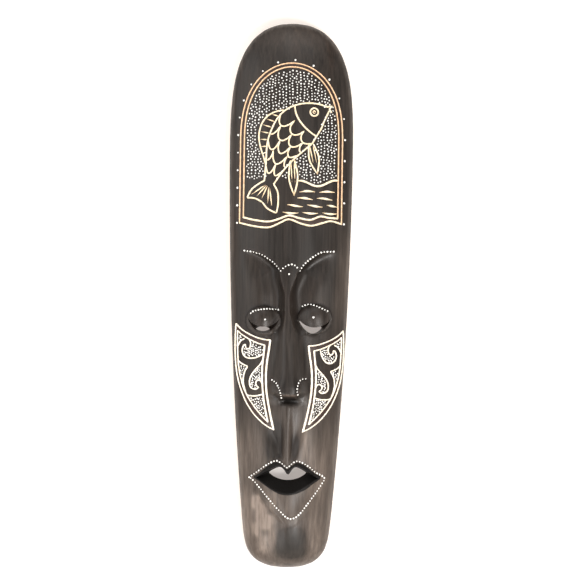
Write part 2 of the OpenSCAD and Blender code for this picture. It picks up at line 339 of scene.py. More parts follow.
mouth_front = lens(mouth_low, mouth_top, -MOUTH_HALF, MOUTH_HALF)
mouth_rear = lens(lambda x: 88 - 7 * rear_mouth(x) ** 0.8,
                  lambda x: 88 + 6.2 * rear_mouth(x) - 8.4 * bump(x - 0.9, 4), -16.5, 17.5)
left_front = lens(slit_low, slit_top, -LID_X - 14.6, -LID_X + 14.6)
left_rear = lens(lambda x: 219.2 - 2.0 * rear_slit(x, -24, 6.5),
                 lambda x: 219.2 + 2.4 * rear_slit(x, -24, 6.5), -30.5, -17.5)
right_front = lens(slit_low, slit_top, LID_X - 14.6, LID_X + 14.6)
right_rear = lens(lambda x: 228.8 - 0.26 * x - 8.3 * rear_slit(x, 18.2, 11.7) ** 0.85,
                  lambda x: 228.8 - 0.26 * x + 3 * rear_slit(x, 18.2, 11.7), 6.6, 29.8)
openings = [(mouth_front, mouth_rear), (left_front, left_rear), (right_front, right_rear)]
print([len(front) for front, _ in openings], "points round the three openings")

# %% [markdown]
# ## The drawing
# The carver cuts the drawing with a V-shaped gouge. Each cut is a centre line with a width,
# and most cuts thin out to a point. The forehead has a plain leaping fish over water inside
# an arch. The fish is laid out on a spine with a girth at each point, so its back, belly,
# scales and fins follow one formula. Each cheek has a curled shape inside a blade, drawn as
# smooth curves through a few points.

# %% Cuts
cuts = []


def cut(points, width=1.5, thin=(0.0, 0.0), paint="pale", drawn=False):
    """One V-shaped cut. thin gives how much of its length tapers at each end."""
    line = np.asarray(points, float) if drawn else curve(points, 0.9)
    run = np.linspace(0, 1, len(line))
    half = np.full(len(line), width / 2)
    for share, from_end in zip(thin, (run, 1 - run)):
        if share:
            half *= 0.26 + 0.74 * smooth(0, share, from_end)
    wander = 1 + 0.07 * np.sin(line[:, 0] * 1.3 + line[:, 1] * 0.9)
    cuts.append((line, half * wander, paint))


ARCH_HALF, ARCH_TOP, ARCH_SPRING, ARCH_FOOT, LINE_GAP = 46.7, 462.4, 390.0, 316.0, 3.5


def arch_line(half, top, foot):
    """One upright side, the arch, which is a little squarer than an ellipse, and the other side."""
    a = np.linspace(0, np.pi / 2, 60)
    side = np.c_[half * np.cos(a), ARCH_SPRING + (top - ARCH_SPRING) * np.sin(a) ** 0.8]
    leg = [[half, foot]]
    return resample(np.vstack([leg, side, (side * [-1, 1])[-2::-1], [[-half, foot]]]), 0.9)


outer_arch = arch_line(ARCH_HALF, ARCH_TOP, ARCH_FOOT)
inner_arch = arch_line(ARCH_HALF - LINE_GAP, ARCH_TOP - LINE_GAP, ARCH_FOOT + 5)
outer_foot = curve([(-46.7, 316), (-33, 313), (-20, 312), (-10, 316), (-1.5, 319.5), (9, 316),
                    (19, 314), (29, 316.5), (37, 318.5), (46.7, 316)], 0.9)
inner_foot = curve([(-43.2, 321), (-32, 318.5), (-20, 317.3), (-10, 320), (-1.5, 323),
                    (8, 320.7), (18, 319.3), (27, 322.5), (35, 321.5), (43.2, 321)], 0.9)
for line, width, paint in ((outer_arch, 1.15, "bare"), (inner_arch, 1.15, "bare"),
                           (outer_foot, 1.5, "pale"), (inner_foot, 1.6, "pale")):
    cut(line, width, paint=paint, drawn=True)

print(len(cuts), "cuts in the border of the forehead panel")

# %% [markdown]
# ## The fish
# The body hangs on one spine, from the lips to the root of the tail, with a girth at each
# point. Every stroke on the fish is then placed by how far along it lies and how far across,
# so the scales shrink with the body by themselves. Drawing each stroke alone would need a
# list of points for every scale.

# %% Spine, body and head
spine = curve([(33, 421), (21, 415), (6, 404), (-6, 388), (-14, 370), (-20, 353)], 1.0)
girth = curve([(0, 2), (0.07, 7.5), (0.2, 15), (0.38, 19.5), (0.6, 16), (0.82, 9), (1, 4.6)], 0.02)


def on_fish(along, across):
    """A place on the fish: along runs from lips to tail, across from back (-1) to belly (1)."""
    at = np.clip(along, 0, 1) * (len(spine) - 1)
    steps = np.arange(len(spine))
    way = np.gradient(spine, axis=0)
    way /= np.hypot(*way.T)[:, None]
    x, h = (np.interp(at, steps, spine[:, k]) for k in (0, 1))
    wx, wh = (np.interp(at, steps, way[:, k]) for k in (0, 1))
    reach = np.interp(along, girth[:, 0], girth[:, 1]) * across
    return np.c_[x - wh * reach, h + wx * reach]


def leaf(root, tip, bulge):
    """A fin shaped like a leaf, with two barbs inside it."""
    root, tip = np.array(root, float), np.array(tip, float)
    side = np.array([-(tip - root)[1], (tip - root)[0]]) / np.hypot(*(tip - root)) * bulge
    edges = [curve([root + side * k * 0.5, (root + tip) / 2 + side * k, tip]) for k in (1, -1)]
    for edge in edges:
        cut(edge, 1.4, (0.05, 0.15), drawn=True)
    for k in (0.35, -0.35):
        end = root + (tip - root) * 0.7 + side * k
        cut(np.linspace(root + side * k, end, 9), 1.0, (0.3, 0.6), drawn=True)
    return np.vstack([edges[0], edges[1][::-1]])


GILL, EYE_AT, EYE_RADIUS, PUPIL_RADIUS = 0.31, (0.14, -0.22), 3.6, 1.1
run = np.linspace(0, 1, 60)
back_side = on_fish(run, np.full(60, -1.0))
belly_side = on_fish(run, np.full(60, 1.0))
cut(back_side, 1.4)
cut(belly_side, 1.4)
cut([back_side[0], (36.5, 423.6), (34.2, 421), (36.3, 418.2), belly_side[0]], 1.3)
bow = np.linspace(-1, 1, 21)
cut(on_fish(GILL - 0.05 * bow**2, bow), 1.4)
eye = on_fish(*EYE_AT)[0]
cut(arc(eye, (EYE_RADIUS, EYE_RADIUS), 0, 358, 0.7), 1.4, drawn=True)
cut(arc(eye, (PUPIL_RADIUS, PUPIL_RADIUS), 0, 300, 0.4), 0.9, drawn=True)
print("fish body", round(len(spine) - 1.0), "mm long along its spine")

# %% Scales, fins and tail
SCALE_ROW, SCALE_ROWS = 0.115, 5
# Staggered rows of bows, open towards the head
for row in range(SCALE_ROWS):
    start = GILL + 0.03 + row * SCALE_ROW
    lanes = 3 if row < 3 else 2
    for lane in range(lanes + row % 2):
        across = -1 + (2 * lane + (row + 1) % 2 + bow) / lanes
        shown = np.abs(across) < 0.97
        if shown.sum() > 8:
            cut(on_fish(start + SCALE_ROW * np.sqrt(1 - bow[shown] ** 2), across[shown]), 1.3, (0.1, 0.1))
# Back fin with its spines
FIN_START, FIN_END = 0.34, 0.86
fin_run = np.linspace(FIN_START, FIN_END, 40)
fin_share = (fin_run - FIN_START) / (FIN_END - FIN_START)
fin_reach = -1 - 0.62 * np.sin(np.pi * fin_share**0.9)
fin_edge = on_fish(fin_run, fin_reach)
cut(fin_edge, 1.3, (0.06, 0.1))
for k in range(5, 37, 4):
    root, tip = on_fish(fin_run[k], -1.0)[0], fin_edge[min(k + 2, 39)]
    cut(root + (tip - root) * np.linspace(0.12, 0.86, 9)[:, None], 1.1, (0.2, 0.7), drawn=True)
front_fin = leaf(on_fish(0.40, 0.98)[0], (24, 361), 4.4)
rear_fin = leaf(on_fish(0.70, 0.98)[0], (3, 341), 4.0)
# Forked tail with rays
root_left, root_right = back_side[-1], belly_side[-1]
NOTCH_OF_TAIL, TIPS_OF_TAIL = (-26, 335), ((-40, 339), (-13, 325))
tail = [curve([root_left, (-29, 352), (-36, 346.5), TIPS_OF_TAIL[0]]),
        curve([TIPS_OF_TAIL[0], (-33, 338.5), NOTCH_OF_TAIL]),
        curve([NOTCH_OF_TAIL, (-21, 329), TIPS_OF_TAIL[1]]),
        curve([TIPS_OF_TAIL[1], (-11.5, 334), (-12, 344), root_right])]
for line in tail:
    cut(line, 1.4, (0.04, 0.04))
tail_root = (root_left + root_right) / 2
for tip in ((-36, 342), (-31, 340.5), (-26.5, 338.5), (-21, 334), (-17, 329.5)):
    tip = np.array(tip)
    cut(np.linspace(tail_root + (tip - tail_root) * 0.22, tip, 9), 1.1, (0.3, 0.5), drawn=True)
print(len(cuts), "cuts with the fish")

# %% [markdown]
# The water is a crest line with rows of short swells under it. Each swell thins out at both
# ends, as a stroke does when the gouge rises out of the wood.

# %% Water
WATER_H = 352.0
crest = np.linspace(6, 43, 38)
cut(np.c_[crest, WATER_H + 2.6 * np.sin(crest / 5.2) + 0.03 * crest], 1.7, (0.08, 0.02))
for row, start in enumerate((8, 6, -3, -7)):
    height = WATER_H - 7.5 - 6.2 * row
    for first in np.arange(start, 36, 18):
        swell = np.linspace(first, min(first + 14, 42.5), 15)
        cut(np.c_[swell, height + 0.9 * np.sin((swell - first) / 5 + row)], 1.8, (0.45, 0.45))
print(len(cuts), "cuts in the forehead panel")

# %% [markdown]
# ## Cheek panels
# The right panel is the left one turned over, a little shorter and lower, because the
# carver drew both from one idea and not from one stencil.

# %% Blade panels and their curls
BLADE = [
    [(-48.6, 223.5), (-44, 219), (-37, 214.6), (-29, 211.2), (-22, 209.5), (-17, 209)],
    [(-17, 209), (-18, 200.5), (-19.3, 192), (-20.2, 183), (-20.4, 173), (-19.8, 163),
     (-18.5, 154), (-16.8, 145), (-14.8, 135.5), (-12.8, 127.5)],
    [(-48.6, 223.5), (-49.2, 213), (-49.2, 200.5), (-48.4, 187), (-46.8, 176), (-44.5, 167),
     (-41.2, 158), (-37, 149.7), (-31.2, 141.5), (-24.6, 134.8), (-18, 130), (-12.8, 127.5)],
]
INNER_BLADE = [
    [(-47, 217), (-43.5, 214), (-39, 211.2), (-34, 208.6), (-28, 206), (-22, 204.4)],
    [(-22, 204.4), (-22.6, 198), (-23.5, 190), (-24, 182), (-23.9, 173), (-23.2, 163),
     (-22, 153), (-20.3, 144), (-18.2, 134.5)],
    [(-47, 217), (-47.1, 209), (-46.8, 200), (-46.2, 190), (-44.9, 180), (-43, 172),
     (-40.8, 165), (-38, 159), (-34, 152.6), (-29.3, 146.3), (-24, 140.2), (-18.2, 134.5)],
]
FERN_TIP = [(-46.6, 203), (-45, 206.6), (-42.8, 208.8), (-40.2, 210)]
UPPER_CURL = [(-36.6, 209.3), (-35.1, 207.2), (-34.9, 204.4), (-35.7, 201.6), (-37.8, 200.6),
              (-39.4, 202.2), (-39.8, 204.6), (-41.3, 203.8), (-42.4, 201), (-42.4, 197.8),
              (-41, 194.8), (-38.3, 192.7), (-34.6, 192.2), (-30.2, 192.9), (-26.3, 194.6),
              (-22.8, 197)]
NOTCH = [[(-46, 189.8), (-43.6, 187.6), (-40.6, 186), (-37.3, 184.7)],
         [(-37.3, 184.7), (-39.4, 181.2), (-40.8, 177), (-41.3, 172.5), (-40.9, 168.5),
          (-39.9, 164), (-38.4, 160)]]
LOWER_CURL = [[(-23.6, 191), (-25.6, 187), (-28.6, 183.5), (-31.6, 180), (-33.8, 176.6),
               (-35.2, 173), (-35.5, 169.4), (-34.7, 166.3), (-32.4, 164.4), (-29.6, 164.1),
               (-26.8, 165.6)],
              [(-26.8, 165.6), (-28.8, 167.1), (-29.7, 169.4), (-28.9, 171.6), (-27, 172.5),
               (-25, 171.6), (-23.8, 168.8)]]
# On the right the upper curl is narrower and ends on the top border.
UPPER_RIGHT = UPPER_CURL[:12] + [(-34.8, 192.6), (-31.6, 195.2), (-29.2, 199.4), (-27.6, 205.6)]
FERN_FOOT = [(-38, 158.6), (-34.5, 157.8), (-28.6, 158), (-22.8, 159.6)]
# Each stippled field is closed by its curl and a few points along the inner blade.
FIELDS = [FERN_TIP + [(-39, 211), (-43.5, 213.8), (-46.8, 216.5)],
          NOTCH[0] + NOTCH[1][1:] + [(-42.5, 171), (-45, 181)],
          LOWER_CURL[0] + LOWER_CURL[1][1:] + [(-24, 178), (-23.8, 186)],
          FERN_FOOT + [(-22, 152.5), (-20.3, 144), (-18.4, 135.2), (-24, 140.6), (-29.3, 146.8),
                       (-34, 153)]]
TIP_LEFT, TIP_RIGHT = (223.5, 127.5), (218.0, 126.0)


def to_right(points):
    """A point of the left panel turned over onto the right cheek."""
    x, h = np.asarray(points, float).T
    scale = (TIP_RIGHT[0] - TIP_RIGHT[1]) / (TIP_LEFT[0] - TIP_LEFT[1])
    return np.c_[-x + 1.2, TIP_RIGHT[1] + (h - TIP_LEFT[1]) * scale]


def to_left(points):
    return np.asarray(points, float)


stipple_fields = []
for place, upper, closing in ((to_left, UPPER_CURL, [(-22.2, 204), (-28, 205.8), (-34, 208.4)]),
                              (to_right, UPPER_RIGHT, [(-31, 207), (-34, 208.4)])):
    for line, width in zip(BLADE, (1.2, 1.7, 1.15)):
        cut(place(line), width, paint="white")
    for line, width in zip(INNER_BLADE, (1.15, 1.55, 1.2)):
        cut(place(line), width, paint="white")
    for line in (FERN_TIP, upper, *NOTCH, *LOWER_CURL, FERN_FOOT):
        cut(place(line), 1.25, (0.04, 0.04), paint="white")
    stipple_fields += [place(field) for field in [upper + closing] + FIELDS]
print(len(cuts), "cuts in all,", round(sum(len(c[0]) * 0.9 for c in cuts)), "mm long")

# %% [markdown]
# ## How deep the cuts are
# One search tree holds all cuts as close samples. For any point on the board it gives the
# depth of the V at that place, so crossings, tips and bends need no special care.

# %% Search tree of the cuts
CUT_DEPTH = 0.65
PAINTS = ("bare", "pale", "white")


def finer(line, half, times=5):
    at = np.linspace(0, len(line) - 1, (len(line) - 1) * times + 1)
    steps = np.arange(len(line))
    return np.c_[np.interp(at, steps, line[:, 0]), np.interp(at, steps, line[:, 1]),
                 np.interp(at, steps, half)]


samples = [np.c_[finer(line, half), np.full((len(line) - 1) * 5 + 1, PAINTS.index(paint))]
           for line, half, paint in cuts]
samples = np.vstack(samples)
cut_tree = KDTree(len(samples))
for i, (x, h, _, _) in enumerate(samples):
    cut_tree.insert((x, h, 0), i)
cut_tree.balance()
widest = samples[:, 2].max()


def carving(points):
    """Share of the full cut depth at each point, and the paint of the deepest cut there."""
    share = np.zeros(len(points))
    paint = np.zeros(len(points), int)
    for i, (x, h) in enumerate(points):
        for _, sample, distance in cut_tree.find_range((x, h, 0), widest):
            here = 1 - distance / samples[sample, 2]
            if here > share[i]:
                share[i] = here
                paint[i] = int(samples[sample, 3])
    return share, paint


def inside(points, polygon):
    """Even-odd test of many points against one outline."""
    ends = np.roll(polygon, -1, 0)
    odd = np.zeros(len(points), bool)
    for (ax, ah), (bx, bh) in zip(polygon, ends):
        if ah == bh:
            continue
        crosses = (ah > points[:, 1]) != (bh > points[:, 1])
        odd ^= crosses & (points[:, 0] < ax + (points[:, 1] - ah) * (bx - ax) / (bh - ah))
    return odd


print(len(samples), "samples along the cuts, widest half", round(float(widest), 2), "mm")

# %% [markdown]
# ## The front skin
# The front is one triangulated sheet. Every carved line is put in as an edge first (cut
# outlines and bottoms, brow edges, eyelids, nose, lips), then an even grid fills the rest.
# A plain grid would blur the brow edges and would need millions of faces for the cuts.

# %% Lines that the mesh has to follow
points, edges = [], []


def add_line(line, closed=False):
    """Adds a polyline to the triangulation and returns the numbers of its points."""
    first = len(points)
    points.extend(map(tuple, line))
    numbers = list(range(first, len(points)))
    edges.extend(zip(numbers, numbers[1:]))
    if closed:
        edges.append((numbers[-1], first))
    return numbers


def cut_outline(line, half):
    way = np.gradient(line, axis=0)
    way /= np.hypot(*way.T)[:, None] + 1e-9
    side = np.c_[-way[:, 1], way[:, 0]] * half[:, None]
    start = line[0] - way[0] * half[0]
    end = line[-1] + way[-1] * half[-1]
    return np.vstack([[start], line - side, [end], (line + side)[::-1]])


front_loop = add_line(silhouette, closed=True)
hole_loops = [add_line(front, closed=True) for front, _ in openings]
for distance in (0.35, 1.2, 2.6, 4.6):
    add_line(inset(silhouette, distance), closed=True)
for line, half, _ in cuts:
    add_line(line)
    add_line(cut_outline(line, half), closed=True)

side_x = np.linspace(-46, 46, 93)
for offset in (0.0, -1.0, -2.2):
    add_line(np.c_[side_x, brow_edge(side_x) + offset])
down = np.linspace(222, 268, 40)
for side in (-1, 1):
    for offset in (0.0, 1.0, 2.0):
        add_line(np.c_[midline(down) + side * (bridge_half(down) + offset), down])
for side, lid_h in zip((-1, 1), LID_H):
    for size in (1.0, 0.96):
        add_line(arc((side * LID_X, lid_h), (LID_HALF * size, 12.5 * size), 0, 180))
for wide in (2.3, 4.4):
    for side in (-1, 1):
        add_line([(side * wide - 0.5, h) for h in np.arange(104, 152, 1.5)])
for start in (151.5, 154.0, 156.5, 159.0):
    add_line([(x, start) for x in np.arange(-18, 18.1, 1.2)])
lip_x = np.linspace(-LIP_HALF + 0.6, LIP_HALF - 0.6, 72)
for offset in (0.0, 1.3):
    add_line(np.c_[lip_x, lips_top(lip_x) + offset])
    add_line(np.c_[lip_x, lips_low(lip_x) - offset])
print(len(points), "points on carved lines")

# %% [markdown]
# The black paint of the mouth covers the upper lip and runs a little onto the lower one. Its
# edge is drawn too, so that the paint ends in a clean brush line.

# %% Painted mouth and stippled fields
mouth_paint = curve([(-30.5, 83.6), (-25, 88), (-20, 92.4), (-15, 96), (-10, 97.8), (-5, 95.8),
                     (0, 91.8), (4.5, 95.2), (9.5, 97.6), (14.5, 96), (19, 93), (25, 88.4),
                     (31, 83.8), (24, 78.4), (17, 73.2), (9, 69.6), (1.5, 68.2), (-6, 69),
                     (-13, 72.2), (-19, 76), (-24.5, 79.8)], 1.0, closed=True)
add_line(mouth_paint, closed=True)
STIPPLE_INSET = LINE_GAP + 1.7
stipple_low = np.c_[crest[::-1], WATER_H + 2.2 + 2.6 * np.sin(crest[::-1] / 5.2) + 0.03 * crest[::-1]]
forehead_fields = [np.vstack([arch_line(ARCH_HALF - STIPPLE_INSET, ARCH_TOP - STIPPLE_INSET, 356)[::-1],
                              stipple_low])]
fish_parts = [np.vstack([back_side, belly_side[::-1]]), np.vstack([fin_edge, back_side[52:20:-1]]),
              front_fin, rear_fin, np.vstack(tail)]
print("painted mouth", round(float(np.ptp(mouth_paint[:, 0]))), "mm wide")

# %% Fill with an even grid and triangulate


def grid(low, high, step):
    rows = np.arange(low[1], high[1], step * 0.866)
    across = np.arange(low[0], high[0], step)
    shift = np.where(np.arange(len(rows)) % 2, step / 2, 0)
    x = (across[None] + shift[:, None]).ravel()
    return np.c_[x, np.repeat(rows, len(across))]


def keep_clear(found, taken, gap):
    tree = KDTree(len(taken))
    for i, (x, h) in enumerate(taken):
        tree.insert((x, h, 0), i)
    tree.balance()
    clear = [tree.find((x, h, 0))[2] > gap for x, h in found]
    return found[np.array(clear)]


def triangulate(fixed, fixed_edges, fill, outer, holes):
    """Triangles between an outline and its holes, with the new number of each fixed point."""
    everything = [Vector(p) for p in fixed] + [Vector(p) for p in fill]
    found = delaunay_2d_cdt(everything, fixed_edges, [], 0, 1e-5, True)
    flat = np.array([tuple(p) for p in found[0]])
    triangles = np.array([f for f in found[2] if len(f) == 3])
    middle = flat[triangles].mean(1)
    keep = inside(middle, outer)
    for hole in holes:
        keep &= ~inside(middle, hole)
    place = {old: new for new, group in enumerate(found[3]) for old in group}
    return flat, triangles[keep], middle[keep], place


coarse = grid((-60, -2), (60, mask_h + 2), 2.5)
fine = grid((-52, 30), (52, 300), 1.35)
panel = grid((-48, 306), (48, 468), 1.7)
coarse = coarse[(coarse[:, 1] < 30) | (coarse[:, 1] > 468) | (np.abs(coarse[:, 0]) > 48)
                | ((coarse[:, 1] > 300) & (coarse[:, 1] < 306))]
fine = fine[np.abs(fine[:, 0]) <= 48]
fill = np.vstack([coarse, fine, panel])
fill = fill[inside(fill, inset(silhouette, 5.4))]
for front, _ in openings:
    fill = fill[~inside(fill, front)]
fill = keep_clear(fill, np.array(points), 0.55)
front_flat, front_faces, front_middle, front_place = triangulate(
    points, edges, fill, silhouette, [front for front, _ in openings])
print(len(front_flat), "points and", len(front_faces), "triangles in the front")

# %% [markdown]
# ## The hollow back
# The back of the real mask isn't seen. Such masks are gouged out to save weight and to stop
# splits, with a flat rim that lies on the wall and a shallow shelf where the hanger is
# screwed on. Short gouge strokes leave staggered scallops in the floor.

# %% Back surface
CHAMFER, RIM_WIDTH, FLOOR, SHELF = 0.6, 11.0, 19.0, 8.0
HOLLOW_TOP = mask_h - 12


def hollow(x, h):
    inner = np.maximum(1, width_at(h) - RIM_WIDTH)
    across = np.clip(np.abs(x) / inner, 0, 1)
    shelf = smooth(mask_h - 130, mask_h - 95, h)
    end = 1 - np.clip((h - HOLLOW_TOP + 12) / 12, 0, 1) ** 3
    floor = (FLOOR * (1 - shelf) + SHELF * shelf) * smooth(12, 60, h) * end
    return np.minimum(floor, floor * 1.08 * (1 - across**2.6) ** 0.6)


def gouge_marks(x, h):
    """Rows of shallow scallops, each row shifted against its neighbour."""
    row = np.round(x / 7)
    along = (h / 19 + 0.37 * row) % 1
    across = x / 7 - row
    return 0.55 * (1 - (2 * across) ** 2) * np.sin(np.pi * along) ** 0.7


def back_depth(points):
    x, h = points.T
    depth = hollow(x, h)
    flat_shelf = smooth(395, 405, h) * smooth(490, 484, h)
    return depth - gouge_marks(x, h) * smooth(3, 9, depth) * (1 - flat_shelf)


rear_edge = inset(silhouette, CHAMFER)
back_points, back_edges = list(map(tuple, rear_edge)), []
back_loop = list(range(len(rear_edge)))
back_edges += list(zip(back_loop, back_loop[1:] + back_loop[:1]))
rear_loops = []
for _, rear in openings:
    first = len(back_points)
    back_points.extend(map(tuple, rear))
    numbers = list(range(first, len(back_points)))
    back_edges += list(zip(numbers, numbers[1:] + numbers[:1]))
    rear_loops.append(numbers)
heights = np.linspace(13, HOLLOW_TOP, 240)
for side in (-1, 1):
    first = len(back_points)
    lip = np.c_[side * np.maximum(1, width_at(heights) - RIM_WIDTH), heights]
    back_points.extend(map(tuple, lip))
    back_edges += [(first + i, first + i + 1) for i in range(len(lip) - 1)]
fill = grid((-60, 0), (60, mask_h), 2.2)
fill = fill[inside(fill, inset(silhouette, 1.8))]
for _, rear in openings:
    fill = fill[~inside(fill, rear)]
fill = keep_clear(fill, np.array(back_points), 0.8)
back_flat, back_faces, _, back_place = triangulate(
    back_points, back_edges, fill, rear_edge, [rear for _, rear in openings])
print(len(back_faces), "triangles in the back")

# %% [markdown]
# ## One closed block
# The front skin, the back and the rings between them become one closed mesh. A flat side
# joins the two outlines, and each opening gets a funnel whose walls bend from the wide front
# to the small rear hole.

# %% Lift the skins and join them
FINISHES = ["stained_wood", "bare_cut", "pale_cut", "white_cut", "strip_stain", "mouth_black",
            "raw_wood"]
share, _ = carving(front_flat)
rim = nearest(front_flat, fine_rim)
lifted = face_depth(front_flat, rim)
front_verts = np.c_[front_flat[:, 0], -(lifted - CUT_DEPTH * share), front_flat[:, 1]]
back_verts = np.c_[back_flat[:, 0], -back_depth(back_flat), back_flat[:, 1]]
verts = [front_verts, back_verts]
first_back = len(front_verts)
count = first_back + len(back_verts)
quads, quad_kind = [], []


def ring(positions):
    """Adds a ring of points and returns their numbers."""
    global count
    verts.append(positions)
    count += len(positions)
    return list(range(count - len(positions), count))


def bridge(a, b, outward, kind):
    following = list(zip(a, a[1:] + a[:1], b, b[1:] + b[:1]))
    for a0, a1, b0, b1 in following:
        quads.append((a0, b0, b1, a1) if outward else (a1, b1, b0, a0))
        quad_kind.append(FINISHES.index(kind))


last = [front_place[i] for i in front_loop]
for depth in (7.0, 4.8, 2.6, 0.9):
    following = ring(np.c_[silhouette[:, 0], np.full(len(silhouette), -depth), silhouette[:, 1]])
    bridge(last, following, True, "stained_wood")
    last = following
bridge(last, [first_back + back_place[i] for i in back_loop], True, "stained_wood")
for (front, rear), front_ids, rear_ids, kind in zip(openings, hole_loops, rear_loops,
                                                   ("mouth_black", "stained_wood", "stained_wood")):
    last = [front_place[i] for i in front_ids]
    near = front_verts[last][:, 1]
    target = [first_back + back_place[i] for i in rear_ids]
    far = back_verts[[back_place[i] for i in rear_ids]][:, 1]
    for step in (0.06, 0.16, 0.3, 0.45, 0.6, 0.74, 0.86, 0.95):
        narrow = step**1.25
        flat = front + (rear - front) * narrow
        following = ring(np.c_[flat[:, 0], near + (far - near) * step, flat[:, 1]])
        bridge(last, following, False, kind)
        last = following
    bridge(last, target, False, kind)

all_verts = np.vstack(verts)
middle_share, middle_paint = carving(front_middle)
kind = np.zeros(len(front_faces), int)
in_strip = inside(front_middle, np.vstack([outer_arch, outer_foot])) & ~inside(
    front_middle, np.vstack([inner_arch, inner_foot]))
for place in (to_left, to_right):
    blade = np.vstack([place(BLADE[0]), place(BLADE[1])[1:], place(BLADE[2])[-2:0:-1]])
    inner = np.vstack([place(INNER_BLADE[0]), place(INNER_BLADE[1])[1:], place(INNER_BLADE[2])[-2:0:-1]])
    in_strip |= inside(front_middle, blade) & ~inside(front_middle, inner)
kind[in_strip] = FINISHES.index("strip_stain")
kind[inside(front_middle, mouth_paint)] = FINISHES.index("mouth_black")
in_cut = middle_share > 0.01
kind[in_cut] = FINISHES.index("bare_cut") + middle_paint[in_cut]
back_out = back_faces[:, ::-1] + first_back
faces = front_faces.tolist() + back_out.tolist() + quads
kinds = np.r_[kind, np.full(len(back_out), FINISHES.index("raw_wood")), quad_kind]
print(len(all_verts), "points,", len(faces), "faces")

# %% [markdown]
# ## Materials
# The block is a light wood under a thin dark stain with a satin wax, and the grain runs down
# the whole length. Hollows are darkened as painted shade, and edges are lighter, partly from
# stain rubbed off and partly as painted sheen. Three numbers are stored on each point of the
# mesh for this: how proud the surface is there, how close it is to the outer edge, and where
# the surface is made lighter or darker, by thin and thick stain and by painted highlights and
# shade.

# %% Material helpers


def new_material(name):
    material = bpy.data.materials.new(name)
    material.use_nodes = True
    shader = material.node_tree.nodes["Principled BSDF"]
    return material, material.node_tree.nodes, material.node_tree.links, shader


def stretched_noise(nodes, links, scale, detail=4.0, rough=0.55):
    """Noise on object coordinates, stretched along the grain, which runs up the mask."""
    place = nodes.new("ShaderNodeTexCoord")
    mapping = nodes.new("ShaderNodeMapping")
    noise = nodes.new("ShaderNodeTexNoise")
    mapping.inputs["Scale"].default_value = scale
    noise.inputs["Scale"].default_value = 1.0
    noise.inputs["Detail"].default_value = detail
    noise.inputs["Roughness"].default_value = rough
    links.new(place.outputs["Object"], mapping.inputs["Vector"])
    links.new(mapping.outputs["Vector"], noise.inputs["Vector"])
    return noise.outputs["Fac"]


def ramp(nodes, links, value, stops):
    node = nodes.new("ShaderNodeValToRGB")
    while len(node.color_ramp.elements) < len(stops):
        node.color_ramp.elements.new(0.5)
    for element, (position, colour) in zip(node.color_ramp.elements, stops):
        element.position = position
        element.color = (*colour, 1)
    links.new(value, node.inputs["Fac"])
    return node.outputs["Color"]


def mixed(nodes, links, factor, a, b, blend="MIX"):
    node = nodes.new("ShaderNodeMix")
    node.data_type = "RGBA"
    node.blend_type = blend
    for socket, value in (("Factor_Float", factor), ("A_Color", a), ("B_Color", b)):
        target = next(s for s in node.inputs if s.identifier == socket)
        if isinstance(value, (tuple, float)):
            target.default_value = (*value, 1) if isinstance(value, tuple) else value
        else:
            links.new(value, target)
    return next(s for s in node.outputs if s.identifier == "Result_Color")


def between(nodes, links, value, low, high, to_low=0.0, to_high=1.0):
    node = nodes.new("ShaderNodeMapRange")
    node.inputs["From Min"].default_value = low
    node.inputs["From Max"].default_value = high
    node.inputs["To Min"].default_value = to_low
    node.inputs["To Max"].default_value = to_high
    links.new(value, node.inputs["Value"])
    return node.outputs["Result"]


def attribute(nodes, name):
    node = nodes.new("ShaderNodeAttribute")
    node.attribute_name = name
    return node.outputs["Fac"]


def times(nodes, links, a, b):
    node = nodes.new("ShaderNodeMath")
    node.operation = "MULTIPLY"
    links.new(a, node.inputs[0])
    links.new(b, node.inputs[1])
    return node.outputs["Value"]


def add_bump(nodes, links, shader, height, strength, distance):
    node = nodes.new("ShaderNodeBump")
    node.inputs["Strength"].default_value = strength
    node.inputs["Distance"].default_value = distance
    links.new(height, node.inputs["Height"])
    links.new(node.outputs["Normal"], shader.inputs["Normal"])

GRAIN_DEPTH = 0.0005
print("grain", GRAIN_DEPTH * 1000, "mm deep")

